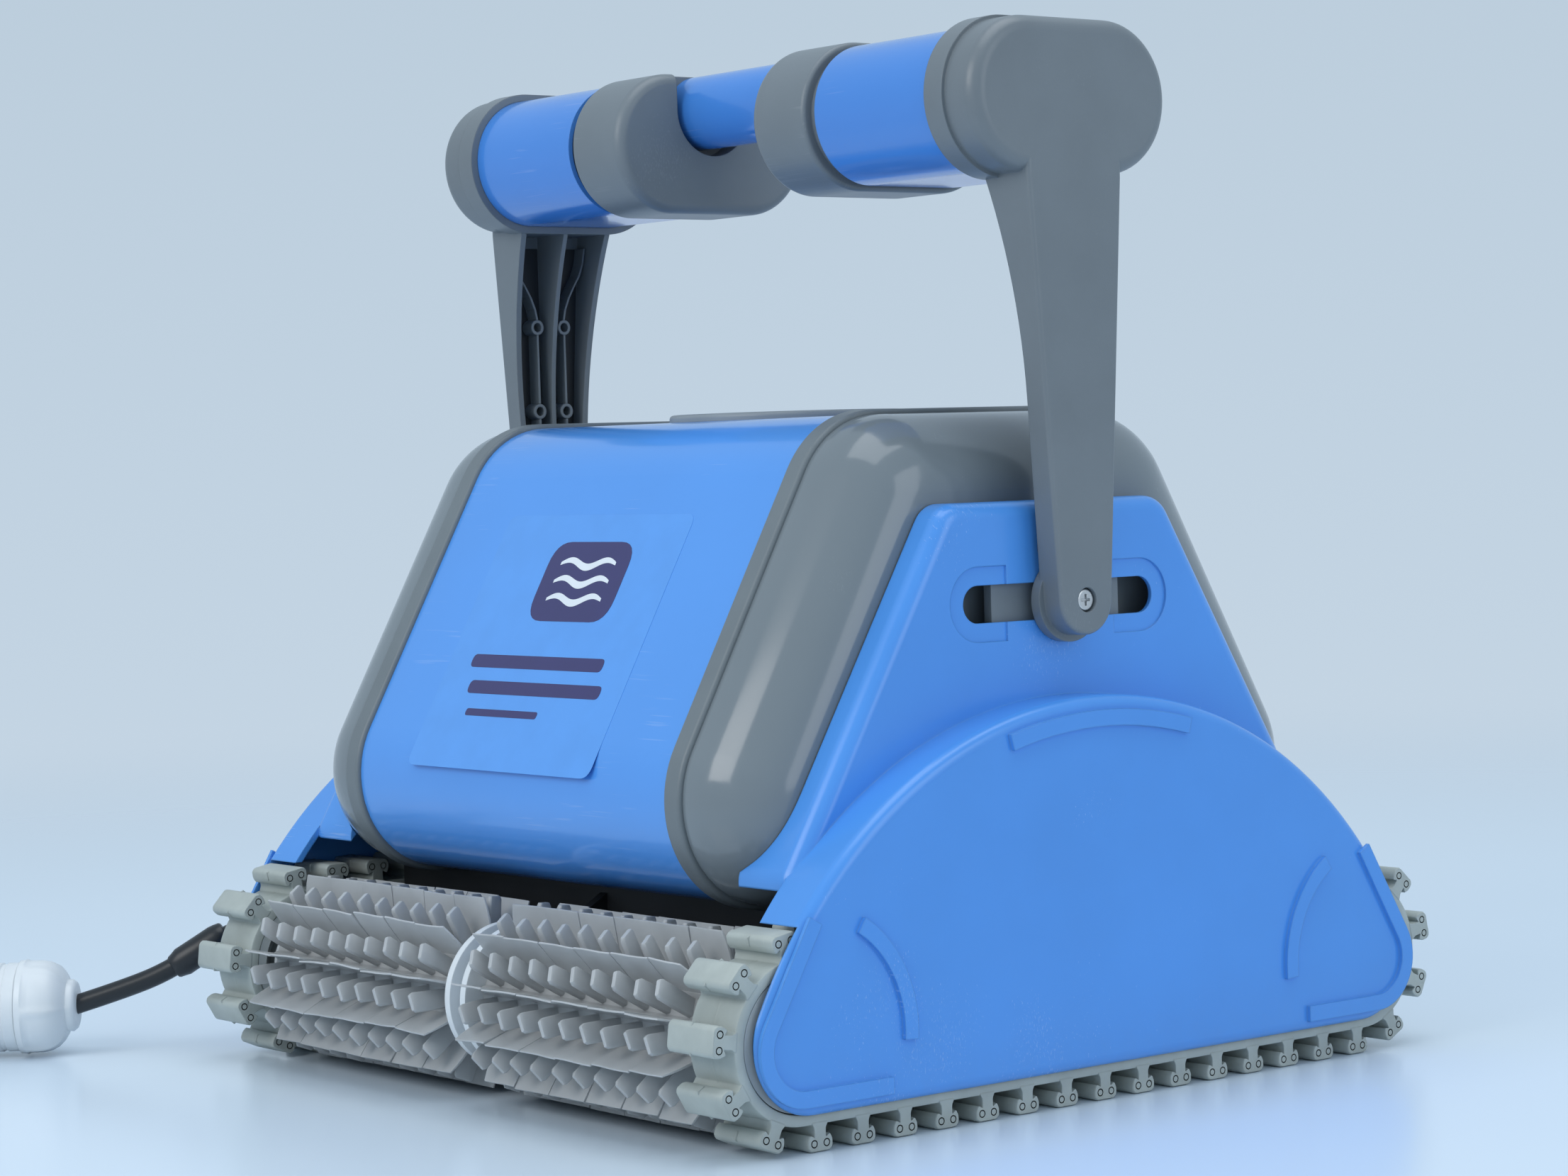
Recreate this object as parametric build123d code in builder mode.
"""Tracked pool cleaner with a floating carry handle.

Frame: millimetres, +X to the machine's right side, -Y forward, +Z up.
The origin is on the floor, midway between the two tracks and the two axles.
"""
from build123d import *
import math
import os

# ---- driving dimensions -------------------------------------------------
# tracks and rollers
axle_half_base = 164.0        # front and rear axles stand this far from the middle
lug_tip_radius = 45.0         # tips of the track's lugs, so also the axles' height
track_outer_x = 202.0
track_width = 30.0
belt_inner_radius = 29.0
belt_outer_radius = 34.0
lug_pitch_target = 22.5       # the pitch is set to the nearest that closes the loop
lug_pitch_line = 1.2          # pitch line above the belt's outer face
lug_start = 8.0               # distance of the first lug along the lower run
lug_stem_width = 6.5
lug_cap_width = 13.0
lug_cap_height = 6.8
axle_radius = 5.0
running_gap = 0.05            # radial clearance of every turning fit
press_gap = 0.02              # radial clearance of every seated, non-turning fit
bush_radius = 10.0
roller_gap_from_middle = 4.0  # inner end of each roller half
roller_tube_radius = 20.0
roller_tube_wall = 4.0
roller_flange_radius = 32.0
roller_flange_width = 4.0
brush_sleeve_wall = 3.0
brush_outer_radius = 43.8
brush_track_gap = 5.0
brush_fin_count = 22
brush_fin_thickness = 1.6
pulley_belt_gap = 0.4
pulley_rim_wall = 4.4
pulley_hub_radius = 15.0
pulley_web = 4.0
pulley_spigot_length = 13.0

# drive
drive_axis_z = 60.0
drive_shaft_radius = 4.0
sprocket_belt_gap = 0.6
sprocket_teeth = 12
drive_bush_radius = 8.0

# body shell, one profile drawn across the machine
body_top_z = 296.0
body_bottom_z = 90.0
body_top_half = 82.0          # half length of the flat top, to the sharp corner
body_bottom_half = 198.7      # the same at the bottom
body_corner_radius = 46.0
body_wall = 3.0
rim_width = 11.0
rim_proud = 2.2
rim_edge_round = 1.8
dome_width = 38.0
dome_tub_lap = 2.0            # the dome stands this far past the tub
dome_round = 34.0
shell_floor_half = 112.0      # the shell is open underneath to this half length

# lower tub, tray and locks
tub_track_gap = 6.0
tub_half_y = 114.0
tub_bottom_z = 18.0
tub_wall = 3.0
tray_thickness = 6.0
ledge_width = 7.0
tray_gap = 1.0
intake_length = 100.0
intake_width = 16.0
intake_centre_y = 50.0
flap_overlap = 2.0
flap_thickness = 1.8
flap_lift = 0.2
flap_pin_radius = 1.5
flap_ear_width = 3.0
lock_inset = 12.0             # each lock in from the tray's end
lock_knob_radius = 11.0
lock_knob_height = 4.8
lock_stem_radius = 4.0
lock_bar = (28.0, 7.0, 3.8)
lock_gap = 0.2
axle_bracket_width = 5.0

# motor unit, filter and pump
motor_half_x = 60.0
motor_half_y = 38.0
motor_bottom_z = 38.0
motor_split_z = 118.0
motor_top_z = 198.0
motor_wall = 3.0
drive_motor_radius = 16.0
drive_motor_length = 46.0
pump_motor_radius = 24.0
pump_motor_span = (100.0, 178.0)
pump_shaft_radius = 3.0
impeller_radius = 34.0
impeller_span = (208.0, 230.0)
impeller_hub_radius = 9.0
impeller_blade_count = 6
impeller_tip_gap = 3.0        # between the impeller's tips and the duct
duct_wall = 3.0
duct_bottom_z = 203.0
outlet_flange = 18.0          # the outlet's rim round the duct's bore
outlet_height = 3.6
outlet_ring_pitch = 9.0
outlet_ring_width = 2.4
outlet_spoke_width = 3.0
bag_half_x = 100.0
bag_half_y = 64.0
bag_top_z = 190.0
bag_wall = 2.0
bag_frame_height = 7.0

# side panels
panel_depth = 34.0            # depth of the upper box, behind the face with the slot
panel_wall = 3.0
panel_top_z = 257.0
panel_top_half = 64.0
panel_tip_half = 164.0
panel_corner_radius = 14.0
panel_shell_gap = 0.6
drum_track_gap = 4.5          # lower half-round face outside the track
drum_proud = 22.5             # and proud of the upper face
drum_reach = 46.0             # the drum's radius passes the axles by this
drum_top_z = 173.4
drum_bottom_z = 15.0
drum_corner_radius = 30.0
arch_edge_round = 5.0
track_envelope_gap = 1.5
bead_width = 7.0
bead_proud = 2.0
bead_bottom_z = 22.9
bead_top_z = 93.8
bead_inset = 3.7              # upper end of each corner bead inside the drum's edge
bead_corner_inset = 1.8
bead_foot_length = 80.0
bead_corner_round = 20.0
wheel_bead_radius = 52.6
wheel_bead_sweep = 63.0
arch_bead_inset = 9.5
arch_bead_sweep = 30.0
upper_face_round = 7.0
slot_length = 110.0
slot_height = 16.0
slot_z = 214.0
panel_post_radius = 7.0
panel_screw_radius = 1.5
panel_screw_length = 14.0
panel_post_places = ((-95.0, 45.0), (-45.0, 45.0), (45.0, 45.0), (95.0, 45.0))

# handle
arm_proud = 16.6              # the arm's outer face past the panel's upper face
float_axis_z = 428.5
cap_lip = 3.8                 # the cap's half length past the float's
cap_grip = 3.5                # the cap's radius past the float's
cap_depth = 30.1
cap_ring_width = 11.5
cap_ring_proud = 1.5
cap_edge_round = 6.5
float_half = 54.0
float_radius = 31.0
float_wall = 2.4
float_inner_x = 93.0
float_seat = 9.5              # depth of the float in the cap
collar_span = (49.5, 87.5)
collar_lip = 2.0              # the collar stands this far past the float
collar_neck_gap = 0.6         # between the neck and the float's inside
grip_radius = 17.5
grip_wall = 3.0
grip_notch_gap = 3.5
grip_notch_depth = 12.0
arm_foot_half = 15.0
arm_top_half = 27.0
arm_thin_depth = 11.6
arm_thick_depth = 27.0
arm_flare_from_z = 300.0
arm_wall = 3.0
arm_rib = 2.4
arm_edge_round = 1.8
foot_boss_radius = 18.0
foot_gap = 0.8
pivot_screw_radius = 2.5
pivot_head_radius = 4.8
pivot_head_height = 2.6
slider_travel = 42.0          # each way from the middle of the slot
slider_side_gap = 0.4
slider_plate_length = 74.0
slider_plate_lap = 3.0        # the plate is this much taller than the slot
slider_plate_thickness = 4.6

# cable: route of its centre line from the boot to the connector
cable_diameter = 9.4
cable_gland_y = -30.0
cable_gland_z = 66.0
boot_axis_x = -221.0
boot_start_y = -58.0
cable_route = (
    (-221.0, -86.0, 66.0),
    (-222.5, -108.0, 66.5),
    (-224.5, -142.0, 64.0),
    (-227.0, -181.5, 54.0),
    (-240.0, -204.0, 38.0),
    (-253.0, -224.0, 29.6),
    (-267.0, -244.5, 22.6),
)
sleeve_run = (3, 4)           # the thick sleeve lies on this run of the route
sleeve_diameter = 14.8
connector_end = (-264.2, -240.6, 23.5)
connector_heading = (-0.627, -0.779, 0.0)
connector_nut_radius = 23.5
connector_nut_length = 27.0
connector_body_radius = 21.6
connector_body_length = 62.0

# ---- derived places -----------------------------------------------------
axle_z = lug_tip_radius
track_inner_x = track_outer_x - track_width
loop_straight = 2 * axle_half_base
loop_radius = belt_outer_radius + lug_pitch_line
loop_length = 2 * loop_straight + 2 * math.pi * loop_radius
lug_count = round(loop_length / lug_pitch_target)
lug_pitch = loop_length / lug_count
tray_top_z = tub_bottom_z + tray_thickness
drum_face_x = track_outer_x + drum_track_gap
panel_face_x = drum_face_x - drum_proud
panel_inner_x = panel_face_x - panel_depth
brush_outer_end_x = track_inner_x - brush_track_gap
handle_face_x = panel_face_x + arm_proud
arm_thin_x = handle_face_x - arm_thin_depth
arm_thick_x = handle_face_x - arm_thick_depth
cap_inner_x = handle_face_x - cap_depth
float_outer_x = cap_inner_x + float_seat
tub_half_x = track_inner_x - tub_track_gap
tub_inner_x = tub_half_x - tub_wall
dome_outer_x = tub_half_x + dome_tub_lap
lid_half_width = dome_outer_x - dome_width - rim_width
tub_inner_y = tub_half_y - tub_wall
drum_radius = axle_half_base + drum_reach
drum_centre_z = drum_top_z - drum_radius
drum_half_chord = math.sqrt(drum_radius**2 - (drum_bottom_z - drum_centre_z) ** 2)
duct_inner_radius = impeller_radius + impeller_tip_gap
outlet_radius = duct_inner_radius + outlet_flange
cap_half = float_half + cap_lip
cap_radius = float_radius + cap_grip
collar_half = float_half + collar_lip
collar_radius = float_radius + collar_lip
collar_neck_half = float_half - float_wall - collar_neck_gap
collar_neck_radius = float_radius - float_wall - collar_neck_gap
arm_neck_z = float_axis_z - cap_radius
slider_plate_height = slot_height + slider_plate_lap
ends = (-1, 1)

os.makedirs("parts", exist_ok=True)


def save(builder, name):
    """Label one finished piece and write it."""
    builder.part.label = name
    export_step(builder.part, f"parts/{name}.step")


def save_mirrored(builder, name, plane=Plane.YZ):
    """Write the opposite-hand copy of a finished piece."""
    with BuildPart() as other:
        mirror(builder.part, about=plane)
    save(other, name)


def across(x):
    """A plane square to X, drawn with Y to the right and Z up."""
    return Plane.YZ.offset(x)


def body_profile(x, grow=0.0):
    """The body's rounded trapezium, on a plane across the machine."""
    with BuildSketch(across(x)) as profile:
        with BuildLine():
            Polyline(
                (-body_bottom_half, body_bottom_z),
                (body_bottom_half, body_bottom_z),
                (body_top_half, body_top_z),
                (-body_top_half, body_top_z),
                close=True,
            )
        make_face()
        if grow:
            offset(amount=grow, kind=Kind.INTERSECTION)
        fillet(profile.vertices(), body_corner_radius + grow)
    return profile.sketch


def upper_profile(x, grow=0.0):
    """The side panel's upper trapezium."""
    with BuildSketch(across(x)) as profile:
        with BuildLine():
            Polyline(
                (-panel_tip_half, body_bottom_z),
                (panel_tip_half, body_bottom_z),
                (panel_top_half, panel_top_z),
                (-panel_top_half, panel_top_z),
                close=True,
            )
        make_face()
        if grow:
            offset(amount=grow, kind=Kind.INTERSECTION)
        fillet(profile.vertices().group_by(Axis.Z)[-1], panel_corner_radius + grow)
    return profile.sketch


def drum_profile(x, grow=0.0):
    """The side panel's half-round lower shape."""
    radius = drum_radius + grow
    bottom = drum_bottom_z - grow
    half_chord = math.sqrt(radius**2 - (bottom - drum_centre_z) ** 2)
    with BuildSketch(across(x)) as profile:
        with BuildLine():
            ThreePointArc(
                (-half_chord, bottom),
                (0, drum_centre_z + radius),
                (half_chord, bottom),
            )
            Line((half_chord, bottom), (-half_chord, bottom))
        make_face()
        fillet(profile.vertices(), drum_corner_radius + grow)
    return profile.sketch


def loop_place(distance):
    """Where a lug stands on the track, by its distance along the loop."""
    turn = math.pi * loop_radius
    distance = distance % loop_length
    if distance < loop_straight:
        return Location((distance - axle_half_base, axle_z, 0), (0, 0, 180))
    distance -= loop_straight
    if distance < turn:
        return Location((axle_half_base, axle_z, 0), (0, 0, 180 + math.degrees(distance / loop_radius)))
    distance -= turn
    if distance < loop_straight:
        return Location((axle_half_base - distance, axle_z, 0), (0, 0, 0))
    distance -= loop_straight
    return Location((-axle_half_base, axle_z, 0), (0, 0, math.degrees(distance / loop_radius)))


# ---- body shell ---------------------------------------------------------
with BuildPart() as lid:
    extrude(body_profile(-lid_half_width), amount=2 * lid_half_width, dir=(1, 0, 0))
    lid_inside = body_profile(-lid_half_width, -body_wall)
    extrude(lid_inside, amount=2 * lid_half_width, dir=(1, 0, 0), mode=Mode.SUBTRACT)
    with Locations((0, 0, body_bottom_z)):
        Box(2 * lid_half_width, 2 * shell_floor_half, 3 * body_wall, mode=Mode.SUBTRACT)
    with Locations((0, 0, body_top_z)):
        Cylinder(duct_inner_radius, 3 * body_wall, mode=Mode.SUBTRACT)
save(lid, "lid")

with BuildPart() as rim_right:
    extrude(body_profile(lid_half_width, rim_proud), amount=rim_width, dir=(1, 0, 0))
    fillet(rim_right.faces().sort_by(Axis.X)[0].edges(), rim_edge_round)
    fillet(rim_right.faces().sort_by(Axis.X)[-1].edges(), rim_edge_round)
    rim_inside = body_profile(lid_half_width, -body_wall)
    extrude(rim_inside, amount=rim_width, dir=(1, 0, 0), mode=Mode.SUBTRACT)
    with Locations((lid_half_width, 0, body_bottom_z)):
        Box(4 * rim_width, 2 * (tub_half_y + 1), 4 * body_wall, mode=Mode.SUBTRACT)
save(rim_right, "rim_right")
save_mirrored(rim_right, "rim_left")

dome_inner_x = lid_half_width + rim_width


def dome_solid(grow):
    """The rounded end of the body, filled, thinner or thicker by grow."""
    with BuildPart() as solid:
        extrude(body_profile(dome_inner_x, grow), amount=dome_outer_x - dome_inner_x + grow, dir=(1, 0, 0))
        fillet(solid.faces().sort_by(Axis.X)[-1].edges(), dome_round + grow)
    return solid.part


with BuildPart() as dome_right:
    add(dome_solid(0.0))
    add(dome_solid(-body_wall), mode=Mode.SUBTRACT)
    with Locations((dome_inner_x, 0, body_bottom_z)):
        Box(2 * (tub_inner_x - dome_inner_x), 2 * shell_floor_half, 4 * body_wall, mode=Mode.SUBTRACT)
save(dome_right, "dome_right")
save_mirrored(dome_right, "dome_left")

# round outlet on top of the lid, over the pump
with BuildPart() as outlet_grille:
    with BuildSketch(Plane.XY.offset(body_top_z)):
        Circle(outlet_radius)
    extrude(amount=outlet_height)
    fillet(outlet_grille.edges().group_by(Axis.Z)[-1], 2.0)
    with BuildSketch(Plane.XY.offset(body_top_z)):
        Circle(duct_inner_radius - 1)
        Circle(impeller_hub_radius, mode=Mode.SUBTRACT)
        for ring in (1, 2):
            ring_radius = impeller_hub_radius + ring * outlet_ring_pitch
            Circle(ring_radius + outlet_ring_width / 2, mode=Mode.SUBTRACT)
            Circle(ring_radius - outlet_ring_width / 2)
            Circle(impeller_hub_radius, mode=Mode.SUBTRACT)
        with PolarLocations(duct_inner_radius / 2, 8):
            Rectangle(duct_inner_radius, outlet_spoke_width, mode=Mode.SUBTRACT)
    extrude(amount=outlet_height, mode=Mode.SUBTRACT)
save(outlet_grille, "outlet_grille")

with BuildPart() as outlet_duct:
    lid_underside_z = body_top_z - body_wall
    with BuildSketch(Plane.XY.offset(duct_bottom_z)):
        Circle(duct_inner_radius + duct_wall)
        Circle(duct_inner_radius, mode=Mode.SUBTRACT)
    extrude(amount=lid_underside_z - duct_bottom_z)
    with BuildSketch(Plane.XY.offset(lid_underside_z - duct_wall)):
        Circle(duct_inner_radius + 3 * duct_wall)
        Circle(duct_inner_radius, mode=Mode.SUBTRACT)
    extrude(amount=duct_wall)
    with BuildSketch(Plane.XY.offset(motor_top_z)):
        with PolarLocations(duct_inner_radius - duct_wall, 4, start_angle=0):
            Rectangle(2 * duct_wall, 3 * duct_wall)
    extrude(amount=duct_bottom_z - motor_top_z + 1)
    with BuildSketch(Plane.XY.offset(duct_bottom_z)):
        with PolarLocations(duct_inner_radius - duct_wall, 4, start_angle=0):
            Rectangle(3 * duct_wall, 3 * duct_wall)
    extrude(amount=duct_wall)
save(outlet_duct, "outlet_duct")

# ---- lower tub and tray -------------------------------------------------
with BuildPart() as tub:
    with BuildSketch(Plane.XY.offset(tub_bottom_z)):
        Rectangle(2 * tub_half_x, 2 * tub_half_y)
        Rectangle(2 * tub_inner_x, 2 * tub_inner_y, mode=Mode.SUBTRACT)
    extrude(amount=body_bottom_z - tub_bottom_z)
    with BuildSketch(Plane.XY.offset(tub_bottom_z)):
        Rectangle(2 * tub_inner_x + 1, 2 * tub_inner_y + 1)
        Rectangle(2 * (tub_inner_x - ledge_width), 2 * (tub_inner_y - ledge_width), mode=Mode.SUBTRACT)
    extrude(amount=tray_thickness)
    for end in ends:
        with BuildSketch(across(-axle_bracket_width / 2)):
            with BuildLine():
                Polyline(
                    (end * (tub_half_y - 1), body_bottom_z - 4),
                    (end * (tub_half_y - 1), tub_bottom_z + 4),
                    (end * axle_half_base, axle_z - 12),
                    (end * axle_half_base, axle_z + 12),
                    close=True,
                )
            make_face()
            with Locations((end * axle_half_base, axle_z)):
                Circle(12)
        extrude(amount=axle_bracket_width)
    with BuildSketch(across(-tub_half_x)):
        with Locations((-axle_half_base, axle_z), (axle_half_base, axle_z)):
            Circle(axle_radius + press_gap)
        with Locations((0, drive_axis_z)):
            Circle(drive_bush_radius + press_gap)
    extrude(amount=2 * tub_half_x, mode=Mode.SUBTRACT)
    with BuildSketch(across(-tub_half_x)):
        with Locations(*panel_post_places):
            Circle(panel_screw_radius + 0.1)
    extrude(amount=2 * tub_half_x, mode=Mode.SUBTRACT)
save(tub, "tub")

tray_half_x = tub_inner_x - ledge_width - tray_gap
tray_half_y = tub_inner_y - ledge_width - tray_gap
flap_width = intake_width + 2 * flap_overlap
flap_pin_y = intake_centre_y - flap_width / 2 + 0.5
flap_pin_z = tray_top_z + flap_lift + flap_pin_radius + 0.3
flap_half_x = intake_length / 2 + flap_overlap
lock_x = tray_half_x - lock_inset
lock_places = ((-lock_x, 0), (lock_x, 0))

with BuildPart() as tray:
    with BuildSketch(Plane.XY.offset(tub_bottom_z)):
        RectangleRounded(2 * tray_half_x, 2 * tray_half_y, 6)
        with Locations((0, intake_centre_y), (0, -intake_centre_y)):
            SlotOverall(intake_length, intake_width, mode=Mode.SUBTRACT)
        with Locations(*lock_places):
            Circle(lock_stem_radius + running_gap, mode=Mode.SUBTRACT)
    extrude(amount=tray_thickness)
    for end in ends:
        for side in ends:
            ear_x = side * (flap_half_x + 1.5 + flap_ear_width / 2)
            with Locations((ear_x, end * flap_pin_y, tray_top_z + 2.5)):
                Box(flap_ear_width, 6, 5)
        with Locations(Location((0, end * flap_pin_y, flap_pin_z), (0, 90, 0))):
            Cylinder(flap_pin_radius + running_gap, 4 * flap_half_x, mode=Mode.SUBTRACT)
save(tray, "tray")

with BuildPart() as intake_flap_rear:
    with Locations(Location((0, flap_pin_y, flap_pin_z), (0, 90, 0))):
        Cylinder(flap_pin_radius, 2 * (flap_half_x + 1.5 + flap_ear_width))
    flap_far_y = intake_centre_y + flap_width / 2
    with BuildSketch(Plane.XY.offset(tray_top_z + flap_lift)):
        with Locations((0, (flap_pin_y + flap_far_y) / 2)):
            Rectangle(2 * flap_half_x, flap_far_y - flap_pin_y)
    extrude(amount=flap_thickness)
save(intake_flap_rear, "intake_flap_rear")
save_mirrored(intake_flap_rear, "intake_flap_front", Plane.XZ)

with BuildPart() as tray_lock_right:
    knob_top_z = tub_bottom_z - lock_gap
    with BuildSketch(Plane.XY.offset(knob_top_z - lock_knob_height)):
        with Locations((lock_x, 0)):
            Circle(lock_knob_radius)
    extrude(amount=lock_knob_height)
    fillet(tray_lock_right.edges().group_by(Axis.Z)[0], 1.5)
    with Locations((lock_x, 0, knob_top_z - lock_knob_height)):
        Box(2 * lock_knob_radius - 6, 3, 4, mode=Mode.SUBTRACT)
    with BuildSketch(Plane.XY.offset(knob_top_z - 1)):
        with Locations((lock_x, 0)):
            Circle(lock_stem_radius)
    extrude(amount=tray_thickness + 2 * lock_gap + 1)
    with BuildSketch(Plane.XY.offset(tray_top_z + lock_gap)):
        with Locations((lock_x, 0)):
            Rectangle(lock_bar[0], lock_bar[1])
    extrude(amount=lock_bar[2])
save(tray_lock_right, "tray_lock_right")
save_mirrored(tray_lock_right, "tray_lock_left")

# ---- motor unit, filter and pump ---------------------------------------
with BuildPart() as motor_case_lower:
    with BuildSketch(Plane.XY.offset(motor_bottom_z)):
        RectangleRounded(2 * motor_half_x, 2 * motor_half_y, 8)
    extrude(amount=motor_split_z - motor_bottom_z)
    with BuildSketch(Plane.XY.offset(motor_bottom_z + motor_wall)):
        RectangleRounded(2 * (motor_half_x - motor_wall), 2 * (motor_half_y - motor_wall), 5)
    extrude(amount=motor_split_z, mode=Mode.SUBTRACT)
    with BuildSketch(Plane.XY.offset(tray_top_z)):
        with GridLocations(2 * (motor_half_x - 10), 2 * (motor_half_y - 10), 2, 2):
            Circle(5)
    extrude(amount=motor_bottom_z - tray_top_z + 1)
    with BuildSketch(across(-motor_half_x)):
        with Locations((0, drive_axis_z)):
            Circle(drive_shaft_radius + 0.3)
    extrude(amount=2 * motor_half_x, mode=Mode.SUBTRACT)
    with BuildSketch(across(-motor_half_x)):
        with Locations((cable_gland_y, cable_gland_z)):
            Circle(cable_diameter / 2 + 0.3)
    extrude(amount=2 * motor_wall, mode=Mode.SUBTRACT)
save(motor_case_lower, "motor_case_lower")

with BuildPart() as motor_case_upper:
    with BuildSketch(Plane.XY.offset(motor_split_z)):
        RectangleRounded(2 * motor_half_x, 2 * motor_half_y, 8)
    extrude(amount=motor_top_z - motor_split_z)
    with BuildSketch(Plane.XY.offset(motor_split_z)):
        RectangleRounded(2 * (motor_half_x - motor_wall), 2 * (motor_half_y - motor_wall), 5)
    extrude(amount=motor_top_z - motor_wall - motor_split_z, mode=Mode.SUBTRACT)
    with Locations((0, 0, motor_top_z)):
        Cylinder(pump_shaft_radius + running_gap, 4 * motor_wall, mode=Mode.SUBTRACT)
save(motor_case_upper, "motor_case_upper")

with BuildPart() as pump_motor:
    with BuildSketch(Plane.XY.offset(pump_motor_span[0])):
        Circle(pump_motor_radius)
    extrude(amount=pump_motor_span[1] - pump_motor_span[0])
    fillet(pump_motor.edges(), 2)
save(pump_motor, "pump_motor")

with BuildPart() as pump_shaft:
    with BuildSketch(Plane.XY.offset(pump_motor_span[1] + lock_gap)):
        Circle(pump_shaft_radius)
    extrude(amount=impeller_span[1] - pump_motor_span[1] - 4)
save(pump_shaft, "pump_shaft")

with BuildPart() as impeller:
    impeller_height = impeller_span[1] - impeller_span[0]
    with BuildSketch(Plane.XY.offset(impeller_span[0])):
        Circle(impeller_hub_radius)
    extrude(amount=impeller_height)
    fillet(impeller.edges().group_by(Axis.Z)[-1], 4)
    blade_middle = Plane.XY.offset((impeller_span[0] + impeller_span[1]) / 2)
    for blade in range(impeller_blade_count):
        spoke = blade_middle.rotated((0, 0, 360 * blade / impeller_blade_count))
        with BuildSketch(Plane(origin=spoke.origin, x_dir=spoke.y_dir, z_dir=spoke.x_dir)):
            Rectangle(2.0, impeller_height * 0.95, rotation=40)
        extrude(amount=impeller_radius - 0.5)
    with BuildSketch(Plane.XY.offset(impeller_span[0])):
        Circle(pump_shaft_radius)
    extrude(amount=impeller_height - 4 + lock_gap, mode=Mode.SUBTRACT)
save(impeller, "impeller")

with BuildPart() as filter_bag:
    bag_bottom_z = tray_top_z + bag_frame_height
    bag_height = bag_top_z - bag_bottom_z
    with Locations((0, 0, bag_bottom_z + bag_height / 2)):
        Box(2 * bag_half_x, 2 * bag_half_y, bag_height)
    fillet(filter_bag.edges().filter_by(Axis.Z), 16)
    fillet(filter_bag.edges().group_by(Axis.Z)[-1], 3)
    with BuildSketch(Plane.XY.offset(bag_bottom_z)):
        RectangleRounded(2 * (bag_half_x - bag_wall), 2 * (bag_half_y - bag_wall), 14)
    extrude(amount=bag_height - bag_wall, mode=Mode.SUBTRACT)
    with BuildSketch(Plane.XY.offset(bag_bottom_z)):
        RectangleRounded(2 * (motor_half_x + 0.6), 2 * (motor_half_y + 0.6), 8.6)
    extrude(amount=bag_height, mode=Mode.SUBTRACT)
    with BuildSketch(across(-bag_half_x)):
        with Locations((0, drive_axis_z), (cable_gland_y, cable_gland_z)):
            Circle(drive_bush_radius)
    extrude(amount=2 * bag_half_x, mode=Mode.SUBTRACT)
save(filter_bag, "filter_bag")

with BuildPart() as bag_frame:
    with BuildSketch(Plane.XY.offset(tray_top_z)):
        RectangleRounded(2 * bag_half_x + 8, 2 * bag_half_y + 8, 18)
        RectangleRounded(2 * bag_half_x - 8, 2 * bag_half_y - 8, 12, mode=Mode.SUBTRACT)
    extrude(amount=bag_frame_height)
save(bag_frame, "bag_frame")

with BuildPart() as drive_motors:
    with BuildSketch(across(motor_half_x - motor_wall - 1 - drive_motor_length)):
        with Locations((0, drive_axis_z)):
            Circle(drive_motor_radius)
    extrude(amount=drive_motor_length)
    mirror(about=Plane.YZ)
save(drive_motors, "drive_motors")

with BuildPart() as drive_bushes:
    with BuildSketch(across(tub_inner_x - 3)):
        with Locations((0, drive_axis_z)):
            Circle(drive_bush_radius)
            Circle(drive_shaft_radius + running_gap, mode=Mode.SUBTRACT)
    extrude(amount=tub_wall + 6)
    mirror(about=Plane.YZ)
save(drive_bushes, "drive_bushes")

# output shaft of each drive motor, with its toothed wheel inside the track
sprocket_radius = axle_z + belt_inner_radius - sprocket_belt_gap - drive_axis_z
with BuildPart() as drive_sprocket_right:
    with BuildSketch(across(motor_half_x - motor_wall - 1 + lock_gap)):
        with Locations((0, drive_axis_z)):
            Circle(drive_shaft_radius)
    extrude(amount=track_outer_x - motor_half_x - 2)
    with BuildSketch(across(track_inner_x + 2)):
        with Locations((0, drive_axis_z)):
            Circle(sprocket_radius)
            with PolarLocations(sprocket_radius, sprocket_teeth):
                Circle(1.5, mode=Mode.SUBTRACT)
    extrude(amount=track_width - 5)
save(drive_sprocket_right, "drive_sprocket_right")
save_mirrored(drive_sprocket_right, "drive_sprocket_left")

# ---- tracks and rollers -------------------------------------------------
with BuildPart() as track_right:
    with BuildSketch(across(track_inner_x)):
        with Locations((0, axle_z)):
            SlotCenterToCenter(loop_straight, 2 * belt_outer_radius)
        with Locations(*[loop_place(lug_start + lug_pitch * lug) for lug in range(lug_count)]):
            with Locations((0, (belt_inner_radius + lug_tip_radius) / 2)):
                Rectangle(lug_stem_width, lug_tip_radius - belt_inner_radius)
            with Locations((0, lug_tip_radius - lug_cap_height / 2)):
                Rectangle(lug_cap_width, lug_cap_height)
        with Locations((0, axle_z)):
            SlotCenterToCenter(loop_straight, 2 * lug_tip_radius, mode=Mode.INTERSECT)
            SlotCenterToCenter(loop_straight, 2 * belt_inner_radius, mode=Mode.SUBTRACT)
    extrude(amount=track_width)
save(track_right, "track_right")

with BuildPart() as track_left:
    with Locations((-track_inner_x - track_outer_x, 0, 0)):
        add(track_right.part)
save(track_left, "track_left")

pulley_radius = belt_inner_radius - pulley_belt_gap
pulley_hub_end_x = track_outer_x - 6.0
pulley_rim_start_x = track_inner_x + 1.0
axle_boss_start_x = pulley_hub_end_x + 1.0

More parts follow.
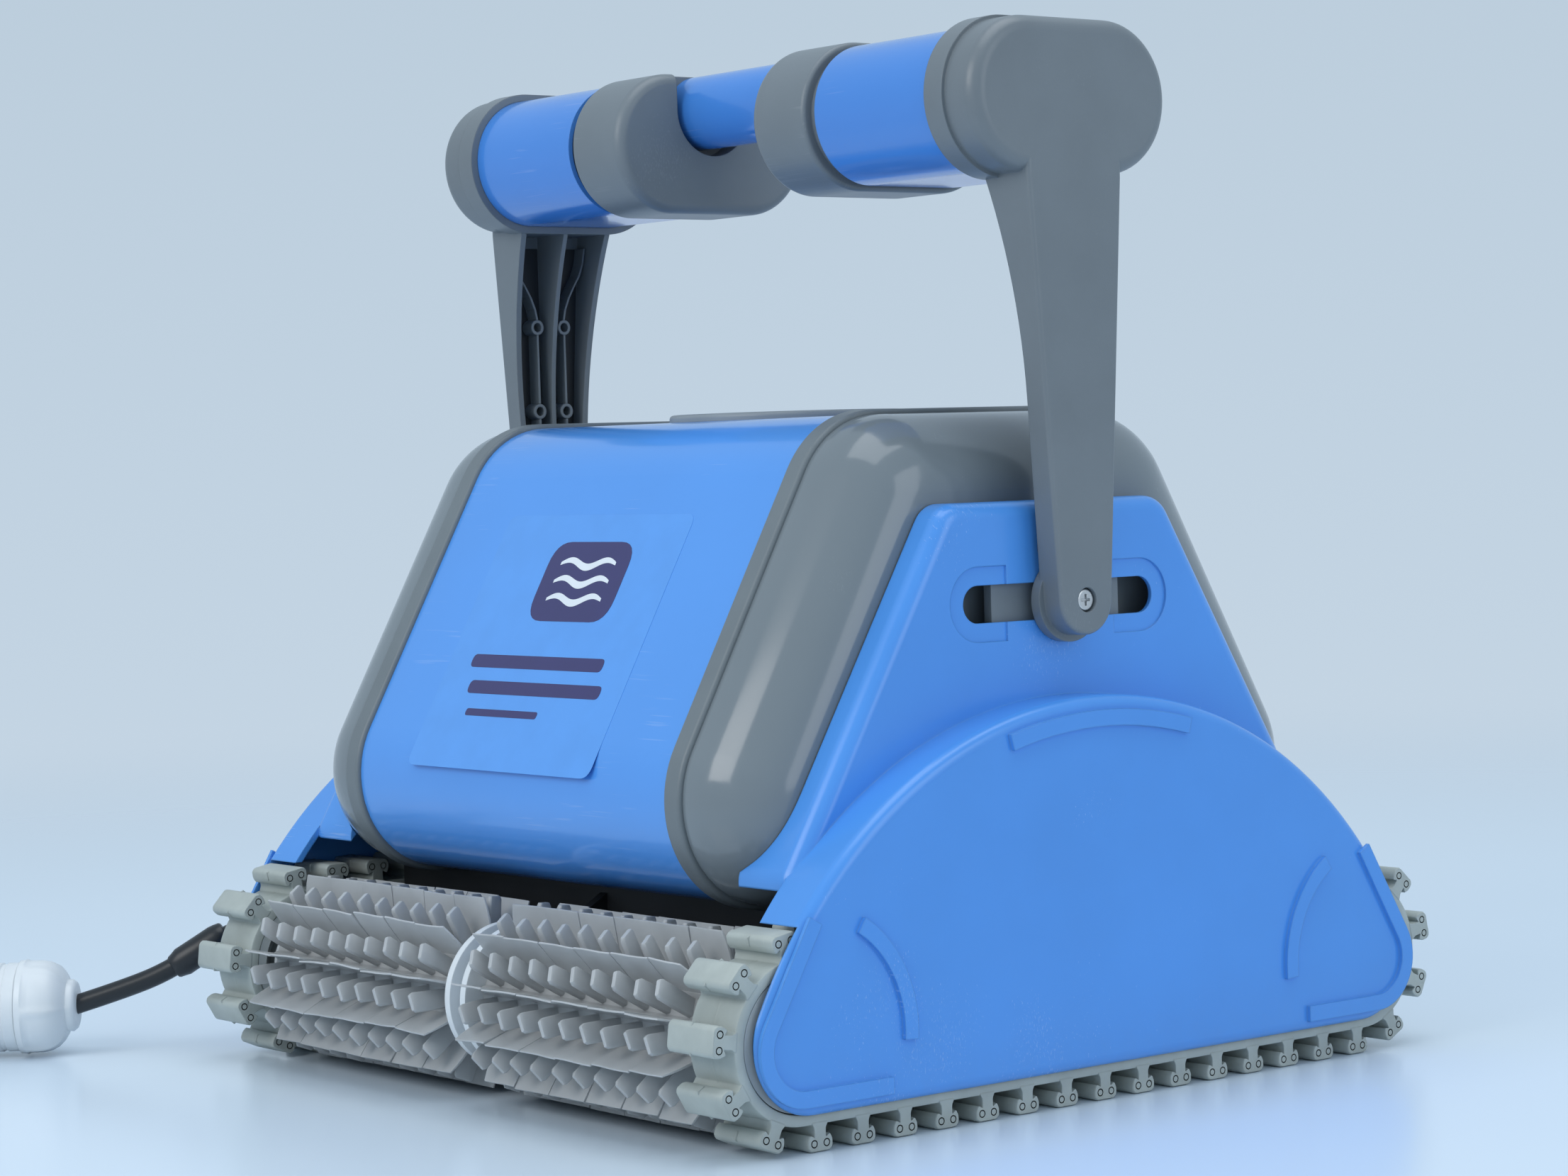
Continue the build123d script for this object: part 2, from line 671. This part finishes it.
for end, end_name in ((-1, "front"), (1, "rear")):
    roller_axis = (end * axle_half_base, axle_z)
    with BuildPart() as roller_tube:
        with BuildSketch(across(roller_gap_from_middle)):
            with Locations(roller_axis):
                Circle(roller_tube_radius)
                Circle(roller_tube_radius - roller_tube_wall, mode=Mode.SUBTRACT)
        extrude(amount=pulley_rim_start_x - roller_gap_from_middle)
        with BuildSketch(across(roller_gap_from_middle)):
            with Locations(roller_axis):
                Circle(roller_flange_radius)
                Circle(bush_radius + running_gap, mode=Mode.SUBTRACT)
        extrude(amount=roller_flange_width)
        with BuildSketch(across(roller_gap_from_middle)):
            with Locations(roller_axis):
                Circle(bush_radius + 3)
                Circle(bush_radius + running_gap, mode=Mode.SUBTRACT)
        extrude(amount=3 * roller_flange_width)
    save(roller_tube, f"roller_tube_{end_name}_right")
    save_mirrored(roller_tube, f"roller_tube_{end_name}_left")

    with BuildPart() as brush:
        brush_start_x = roller_gap_from_middle + roller_flange_width
        sleeve_radius = roller_tube_radius + brush_sleeve_wall
        with BuildSketch(across(brush_start_x)):
            with Locations(roller_axis):
                Circle(sleeve_radius)
                with PolarLocations((sleeve_radius + brush_outer_radius) / 2 - 0.5, brush_fin_count):
                    Rectangle(brush_outer_radius - sleeve_radius + 1, brush_fin_thickness)
                Circle(roller_tube_radius + press_gap, mode=Mode.SUBTRACT)
        extrude(amount=brush_outer_end_x - brush_start_x)
    save(brush, f"brush_{end_name}_right")
    save_mirrored(brush, f"brush_{end_name}_left")

    with BuildPart() as pulley:
        with BuildSketch(across(pulley_rim_start_x)):
            with Locations(roller_axis):
                Circle(pulley_radius)
                Circle(pulley_radius - pulley_rim_wall, mode=Mode.SUBTRACT)
        extrude(amount=track_outer_x - 1 - pulley_rim_start_x)
        web_start_x = (pulley_rim_start_x + pulley_hub_end_x) / 2
        with BuildSketch(across(web_start_x)):
            with Locations(roller_axis):
                Circle(pulley_radius - 1)
                Circle(bush_radius + running_gap, mode=Mode.SUBTRACT)
                with PolarLocations((pulley_radius + pulley_hub_radius) / 2 - 1.5, 6):
                    Circle(2.5, mode=Mode.SUBTRACT)
        extrude(amount=pulley_web)
        with BuildSketch(across(pulley_rim_start_x)):
            with Locations(roller_axis):
                Circle(pulley_hub_radius)
                Circle(bush_radius + running_gap, mode=Mode.SUBTRACT)
        extrude(amount=pulley_hub_end_x - pulley_rim_start_x)
        spigot_radius = roller_tube_radius - roller_tube_wall - press_gap
        with BuildSketch(across(pulley_rim_start_x - pulley_spigot_length)):
            with Locations(roller_axis):
                Circle(spigot_radius)
                Circle(spigot_radius - 3, mode=Mode.SUBTRACT)
        extrude(amount=web_start_x - pulley_rim_start_x + pulley_spigot_length + 1)
    save(pulley, f"pulley_{end_name}_right")
    save_mirrored(pulley, f"pulley_{end_name}_left")

with BuildPart() as axles:
    axle_half_length = drum_face_x - panel_wall - 0.5
    with BuildSketch(across(-axle_half_length)):
        with Locations((-axle_half_base, axle_z), (axle_half_base, axle_z)):
            Circle(axle_radius)
    extrude(amount=2 * axle_half_length)
    chamfer(axles.edges(), 0.6)
save(axles, "axles")

with BuildPart() as roller_bushes:
    bush_spans = (
        (roller_gap_from_middle, 3 * roller_flange_width),
        (pulley_rim_start_x, pulley_hub_end_x - pulley_rim_start_x),
    )
    for start_x, length in bush_spans:
        with BuildSketch(across(start_x)):
            with Locations((-axle_half_base, axle_z), (axle_half_base, axle_z)):
                Circle(bush_radius)
                Circle(axle_radius + press_gap, mode=Mode.SUBTRACT)
        extrude(amount=length)
    mirror(about=Plane.YZ)
save(roller_bushes, "roller_bushes")

# ---- side panels --------------------------------------------------------
with BuildPart() as side_panel_right:
    extrude(upper_profile(panel_inner_x), amount=panel_face_x - panel_inner_x, dir=(1, 0, 0))
    upper_face = side_panel_right.faces().sort_by(Axis.X)[-1]
    fillet(upper_face.edges().sort_by(Axis.Z)[1:], upper_face_round)
    drum_depth = drum_face_x - panel_face_x + panel_wall + 1
    extrude(drum_profile(drum_face_x - drum_depth), amount=drum_depth, dir=(1, 0, 0))
    fillet(side_panel_right.faces().sort_by(Axis.X)[-1].edges(), arch_edge_round)
    # inside of the two boxes
    upper_inside = upper_profile(panel_inner_x, -panel_wall)
    upper_depth = panel_face_x - panel_wall - panel_inner_x
    extrude(upper_inside, amount=upper_depth, dir=(1, 0, 0), mode=Mode.SUBTRACT)
    drum_inside = drum_profile(panel_inner_x, -panel_wall)
    drum_inside_depth = drum_face_x - panel_wall - panel_inner_x
    extrude(drum_inside, amount=drum_inside_depth, dir=(1, 0, 0), mode=Mode.SUBTRACT)
    # room for the track and its lugs
    with BuildSketch(across(panel_inner_x - 1)):
        with Locations((0, axle_z)):
            SlotCenterToCenter(loop_straight, 2 * (lug_tip_radius + track_envelope_gap))
            Rectangle(loop_straight, 2 * (lug_tip_radius + track_envelope_gap))
    extrude(amount=drum_face_x - panel_wall - panel_inner_x + 1, mode=Mode.SUBTRACT)
    # backing behind the scoop that the arm stands in
    with Locations((panel_face_x - 6.5, 0, panel_top_z - 14)):
        Box(9, 36, 24)
    with BuildSketch(Plane.XY.offset(panel_top_z - 22)):
        with Locations((panel_face_x + 8, 0)):
            Circle(15)
    extrude(amount=40, mode=Mode.SUBTRACT)
    # slot for the handle's slider, with a shallow step round each end
    with BuildSketch(across(panel_face_x - 1.0)):
        for end in ends:
            with Locations((end * (slot_length - slot_height) / 2, slot_z)):
                Circle(slot_height)
            with Locations((end * (slot_length / 2 - slot_height), slot_z)):
                Rectangle(slot_height, 2 * slot_height)
    extrude(amount=1.0, mode=Mode.SUBTRACT)
    with BuildSketch(across(panel_face_x - 2 * panel_wall)):
        with Locations((0, slot_z)):
            SlotOverall(slot_length, slot_height)
    extrude(amount=4 * panel_wall, mode=Mode.SUBTRACT)
    # posts that reach the tub, and the axles' end bosses
    with BuildSketch(across(tub_half_x)):
        with Locations(*panel_post_places):
            Circle(panel_post_radius)
            Circle(panel_screw_radius + 0.1, mode=Mode.SUBTRACT)
    extrude(amount=drum_face_x - panel_wall - tub_half_x + 0.5)
    with BuildSketch(across(axle_boss_start_x)):
        with Locations((-axle_half_base, axle_z), (axle_half_base, axle_z)):
            Circle(axle_radius + 4)
            Circle(axle_radius + press_gap, mode=Mode.SUBTRACT)
    extrude(amount=drum_face_x - panel_wall - axle_boss_start_x + 0.5)
    # raised beads on the drum face
    bead_top_y = math.sqrt((drum_radius - bead_inset) ** 2 - (bead_top_z - drum_centre_z) ** 2)
    bead_corner_y = drum_half_chord - bead_corner_inset
    with BuildSketch(across(drum_face_x)):
        for end in ends:
            with BuildLine() as corner_bead:
                FilletPolyline(
                    (end * bead_top_y, bead_top_z),
                    (end * bead_corner_y, bead_bottom_z),
                    (end * (bead_corner_y - bead_foot_length), bead_bottom_z),
                    radius=bead_corner_round,
                )
            trace(corner_bead.wires()[0].edges(), line_width=bead_width)
            with BuildLine() as wheel_bead:
                arc_start = -5 if end < 0 else 122
                CenterArc((end * axle_half_base, axle_z), wheel_bead_radius, arc_start, wheel_bead_sweep)
            trace(wheel_bead.edges(), line_width=bead_width)
        with BuildLine() as arch_bead:
            arch_bead_start = 90 - arch_bead_sweep / 2
            CenterArc((0, drum_centre_z), drum_radius - arch_bead_inset, arch_bead_start, arch_bead_sweep)
        trace(arch_bead.edges(), line_width=bead_width)
    extrude(amount=bead_proud)
    # keep clear of the rounded body end
    add(dome_solid(panel_shell_gap), mode=Mode.SUBTRACT)
save(side_panel_right, "side_panel_right")

# the same moulding turned end for end, with a hole for the cable
with BuildPart() as side_panel_left:
    with Locations(Location((0, 0, 0), (0, 0, 180))):
        add(side_panel_right.part)
    with BuildSketch(across(-drum_face_x - bead_proud)):
        with Locations((cable_gland_y, cable_gland_z)):
            Circle(cable_diameter / 2)
    extrude(amount=3 * panel_wall, mode=Mode.SUBTRACT)
save(side_panel_left, "side_panel_left")

with BuildPart() as panel_screws:
    screw_head_x = tub_inner_x - 2.5
    with BuildSketch(across(screw_head_x)):
        with Locations(*panel_post_places):
            Circle(3.2)
    extrude(amount=2.4)
    with BuildSketch(across(screw_head_x + 2.4)):
        with Locations(*panel_post_places):
            Circle(panel_screw_radius)
    extrude(amount=panel_screw_length)
    mirror(about=Plane.YZ)
save(panel_screws, "panel_screws")

# ---- handle -------------------------------------------------------------
foot_inner_x = panel_face_x + foot_gap
head_seat_x = handle_face_x - pivot_head_height - 1.1


def arm_outline(x, grow=0.0):
    """The arm's long taper, from its round foot to the neck under the cap."""
    with BuildSketch(across(x)) as outline:
        with BuildLine():
            Polyline(
                (-arm_foot_half - grow, slot_z),
                (-arm_top_half - grow, arm_neck_z),
                (-arm_top_half - grow, float_axis_z),
                (arm_top_half + grow, float_axis_z),
                (arm_top_half + grow, arm_neck_z),
                (arm_foot_half + grow, slot_z),
                close=True,
            )
        make_face()
        with Locations((0, slot_z)):
            Circle(arm_foot_half + grow)
    return outline.sketch


def arm_side(grow):
    """The arm seen from the front: thin at the foot, flaring under the cap."""
    with BuildSketch(Plane.XZ) as side:
        with BuildLine():
            Line((handle_face_x - grow, slot_z - 40), (arm_thin_x - 1, slot_z - 40))
            Line((arm_thin_x - 1, slot_z - 40), (arm_thin_x - 1, slot_z))
            Line((arm_thin_x - 1, slot_z), (arm_thin_x, arm_flare_from_z))
            ThreePointArc(
                (arm_thin_x, arm_flare_from_z),
                (arm_thin_x - 4.2, (arm_flare_from_z + arm_neck_z) / 2 + 4),
                (arm_thick_x, arm_neck_z),
            )
            Line((arm_thick_x, arm_neck_z), (arm_thick_x, float_axis_z))
            Line((arm_thick_x, float_axis_z), (handle_face_x - grow, float_axis_z))
            Line((handle_face_x - grow, float_axis_z), (handle_face_x - grow, slot_z - 40))
        make_face()
    return side.sketch


with BuildPart() as handle_cap:
    with BuildSketch(across(cap_inner_x)):
        with Locations((0, float_axis_z)):
            SlotOverall(2 * (cap_half - cap_ring_proud), 2 * (cap_radius - cap_ring_proud))
    extrude(amount=handle_face_x - cap_inner_x)
    fillet(handle_cap.faces().sort_by(Axis.X)[-1].edges(), cap_edge_round)
    with BuildSketch(across(cap_inner_x)):
        with Locations((0, float_axis_z)):
            SlotOverall(2 * cap_half, 2 * cap_radius)
    extrude(amount=cap_ring_width)

# hollow of the arm's inner side, in front of and behind its middle rib
with BuildPart() as arm_hollow:
    hollow_depth = handle_face_x - arm_wall - arm_thick_x + 2
    extrude(arm_outline(arm_thick_x - 2, -arm_wall), amount=hollow_depth, dir=(1, 0, 0))
    with Locations((handle_face_x, 0, arm_neck_z + cap_radius)):
        Box(4 * hollow_depth, 2 * cap_half, 2 * cap_radius, mode=Mode.SUBTRACT)
    with Locations((handle_face_x, 0, slot_z)):
        Cylinder(foot_boss_radius, 4 * hollow_depth, rotation=(0, 90, 0), mode=Mode.SUBTRACT)
    with Locations((handle_face_x, 0, (slot_z + arm_neck_z) / 2)):
        Box(4 * hollow_depth, arm_rib, arm_neck_z - slot_z, mode=Mode.SUBTRACT)

with BuildPart() as handle_arm_right:
    extrude(arm_outline(arm_thick_x - 2), amount=handle_face_x - arm_thick_x + 2, dir=(1, 0, 0))
    extrude(arm_side(0.0), amount=cap_half, dir=(0, 1, 0), both=True, mode=Mode.INTERSECT)
    arm_face = handle_arm_right.faces().sort_by(Axis.X)[-1]
    fillet(arm_face.edges(), arm_edge_round)
    # channel on the arm's inner side, with a rib down its middle
    add(arm_hollow.part, mode=Mode.SUBTRACT)
    add(handle_cap.part)
    with BuildSketch(across(cap_inner_x)):
        with Locations((0, float_axis_z)):
            SlotOverall(2 * (float_half + press_gap), 2 * (float_radius + press_gap))
    extrude(amount=float_outer_x - cap_inner_x + 4, mode=Mode.SUBTRACT)
    # foot: a round boss with the pivot bore and a recess for the screw's head
    with BuildSketch(across(foot_inner_x)):
        with Locations((0, slot_z)):
            Circle(foot_boss_radius)
    extrude(amount=arm_thin_x - foot_inner_x + 1)
    with BuildSketch(across(arm_thin_x)):
        with Locations((0, slot_z)):
            Circle(arm_foot_half - 1)
    extrude(amount=handle_face_x - arm_thin_x - arm_edge_round)
    with BuildSketch(across(foot_inner_x)):
        with Locations((0, slot_z)):
            Circle(pivot_screw_radius + running_gap)
    extrude(amount=handle_face_x, mode=Mode.SUBTRACT)
    with BuildSketch(across(head_seat_x)):
        with Locations((0, slot_z)):
            Circle(pivot_head_radius + 0.5)
    extrude(amount=handle_face_x, mode=Mode.SUBTRACT)
save(handle_arm_right, "handle_arm_right")
save_mirrored(handle_arm_right, "handle_arm_left")

with BuildPart() as pivot_screws:
    with BuildSketch(across(panel_face_x - panel_wall - 3)):
        with Locations((0, slot_z)):
            Circle(pivot_screw_radius)
    extrude(amount=head_seat_x + 0.2 - panel_face_x + panel_wall + 3)
    with BuildSketch(across(head_seat_x + 0.1)):
        with Locations((0, slot_z)):
            Circle(pivot_head_radius)
    extrude(amount=pivot_head_height)
    fillet(pivot_screws.edges().group_by(Axis.X)[-1], 1.0)
    with BuildSketch(across(head_seat_x + pivot_head_height - 1.4)):
        with Locations((0, slot_z)):
            Rectangle(5.0, 1.1)
            Rectangle(1.1, 5.0)
    extrude(amount=3, mode=Mode.SUBTRACT)
    mirror(about=Plane.YZ)
save(pivot_screws, "pivot_screws")

with BuildPart() as slider_right:
    plate_front_x = panel_face_x - panel_wall - slider_side_gap
    with BuildSketch(across(plate_front_x - slider_plate_thickness)):
        with Locations((0, slot_z)):
            RectangleRounded(slider_plate_length, slider_plate_height, 2)
    extrude(amount=slider_plate_thickness)
    # the neck that runs in the slot and stops against its round ends
    with BuildSketch(across(plate_front_x - 0.5)):
        with Locations((0, slot_z)):
            SlotOverall(slot_length - 2 * slider_travel, slot_height - 2 * slider_side_gap)
    extrude(amount=panel_wall + slider_side_gap + 0.5)
    with BuildSketch(across(plate_front_x - slider_plate_thickness)):
        with Locations((0, slot_z)):
            Circle(pivot_screw_radius + press_gap)
    extrude(amount=slider_plate_thickness + 2 * panel_wall, mode=Mode.SUBTRACT)
save(slider_right, "slider_right")
save_mirrored(slider_right, "slider_left")

with BuildPart() as float_tube_right:
    with BuildSketch(across(float_inner_x)):
        with Locations((0, float_axis_z)):
            SlotOverall(2 * float_half, 2 * float_radius)
            SlotOverall(2 * (float_half - float_wall), 2 * (float_radius - float_wall), mode=Mode.SUBTRACT)
    extrude(amount=float_outer_x - float_inner_x)
save(float_tube_right, "float_tube_right")
save_mirrored(float_tube_right, "float_tube_left")

with BuildPart() as float_foams:
    with BuildSketch(across(float_inner_x + 4)):
        with Locations((0, float_axis_z)):
            SlotOverall(2 * (float_half - float_wall) - 1, 2 * (float_radius - float_wall) - 1)
    extrude(amount=float_outer_x - float_inner_x - 6)
    mirror(about=Plane.YZ)
save(float_foams, "float_foams")

grip_axis_z = float_axis_z + collar_radius - grip_radius
grip_half_length = collar_span[0] + grip_notch_depth
with BuildPart() as collar_right:
    with BuildSketch(across(collar_span[0])):
        with Locations((0, float_axis_z)):
            SlotOverall(2 * collar_half, 2 * collar_radius)
    extrude(amount=collar_span[1] - collar_span[0])
    fillet(collar_right.faces().sort_by(Axis.X)[0].edges(), 5.0)
    fillet(collar_right.faces().sort_by(Axis.X)[-1].edges(), 2.0)
    # neck that closes the float's end
    with BuildSketch(across(collar_span[1])):
        with Locations((0, float_axis_z)):
            SlotOverall(2 * collar_neck_half, 2 * collar_neck_radius)
    extrude(amount=float_inner_x + 3.5 - collar_span[1])
    # notch that the grip drops into
    with BuildSketch(across(collar_span[0])):
        with Locations((0, grip_axis_z)):
            Circle(grip_radius + grip_notch_gap)
        with Locations((0, grip_axis_z + collar_radius)):
            Rectangle(2 * (grip_radius + grip_notch_gap), 2 * collar_radius)
    extrude(amount=grip_notch_depth, mode=Mode.SUBTRACT)
save(collar_right, "collar_right")
save_mirrored(collar_right, "collar_left")

with BuildPart() as grip:
    with BuildSketch(across(-grip_half_length)):
        with Locations((0, grip_axis_z)):
            Circle(grip_radius)
            Circle(grip_radius - grip_wall, mode=Mode.SUBTRACT)
    extrude(amount=2 * grip_half_length)
save(grip, "grip")

# ---- cable --------------------------------------------------------------
with BuildPart() as cable_gland:
    with BuildSketch(across(-drum_face_x)):
        with Locations((cable_gland_y, cable_gland_z)):
            Circle(15)
    extrude(amount=-3)
    with BuildSketch(across(-drum_face_x)):
        with Locations((cable_gland_y, cable_gland_z)):
            Circle(9)
    extrude(amount=-(abs(boot_axis_x) - drum_face_x))
    with Locations((boot_axis_x, cable_gland_y, cable_gland_z)):
        Sphere(9)
    with BuildSketch(Plane.XZ.offset(-cable_gland_y)):
        with Locations((boot_axis_x, cable_gland_z)):
            Circle(9)
    extrude(amount=cable_gland_y - boot_start_y)
save(cable_gland, "cable_gland")

with BuildPart() as cable_boot:
    with BuildSketch(Plane.XZ.offset(-boot_start_y)):
        with Locations((boot_axis_x, cable_gland_z)):
            Circle(8)
    with BuildSketch(Plane.XZ.offset(-cable_route[0][1])):
        with Locations((boot_axis_x, cable_gland_z)):
            Circle(cable_diameter / 2 + 1)
    loft()
save(cable_boot, "cable_boot")


def corner_radius(before, corner, after):
    """The largest smooth arc at one corner of the cable's route."""
    first = Vector(*corner) - Vector(*before)
    second = Vector(*after) - Vector(*corner)
    half_turn = math.radians(first.get_angle(second)) / 2
    return 0.45 * min(first.length, second.length) / math.tan(half_turn)


route_radii = [
    corner_radius(*cable_route[corner - 1 : corner + 2]) for corner in range(1, len(cable_route) - 1)
]
print("cable arc radii", [round(radius, 1) for radius in route_radii])

with BuildPart() as cable:
    with BuildLine() as cable_path:
        FilletPolyline(*cable_route, radius=route_radii)
    path_wire = cable_path.wires()[0]
    with BuildSketch(Plane(origin=path_wire @ 0, z_dir=path_wire % 0)):
        Circle(cable_diameter / 2)
    sweep(path=path_wire)
save(cable, "cable")
section_times_length = math.pi * cable_diameter**2 / 4 * path_wire.length
print("cable length", round(path_wire.length, 1))
print("cable volume over section times length", round(cable.part.volume / section_times_length, 4))

sleeve_start = Vector(*cable_route[sleeve_run[0]])
sleeve_end = Vector(*cable_route[sleeve_run[1]])
sleeve_heading = (sleeve_end - sleeve_start).normalized()
with BuildPart() as cable_sleeve:
    sleeve_plane = Plane(origin=sleeve_start - sleeve_heading * 3, z_dir=sleeve_heading)
    with BuildSketch(sleeve_plane):
        Circle(sleeve_diameter / 2)
    extrude(amount=(sleeve_end - sleeve_start).length)
    fillet(cable_sleeve.edges(), 1.5)
save(cable_sleeve, "cable_sleeve")

connector_plane = Plane(origin=connector_end, z_dir=connector_heading)
with BuildPart() as connector_nut:
    with BuildSketch(connector_plane):
        Circle(connector_nut_radius * 0.62)
    with BuildSketch(connector_plane.offset(connector_nut_length * 0.4)):
        Circle(connector_nut_radius)
    loft()
    with BuildSketch(connector_plane.offset(connector_nut_length * 0.4)):
        Circle(connector_nut_radius)
    extrude(amount=connector_nut_length * 0.6)
save(connector_nut, "connector_nut")

with BuildPart() as connector_body:
    with BuildSketch(connector_plane.offset(connector_nut_length)):
        Circle(connector_body_radius)
    extrude(amount=connector_body_length)
    with BuildSketch(connector_plane.offset(connector_nut_length + connector_body_length - 16)):
        Circle(connector_body_radius - 3)
        Circle(9, mode=Mode.SUBTRACT)
    extrude(amount=16, mode=Mode.SUBTRACT)
save(connector_body, "connector_body")
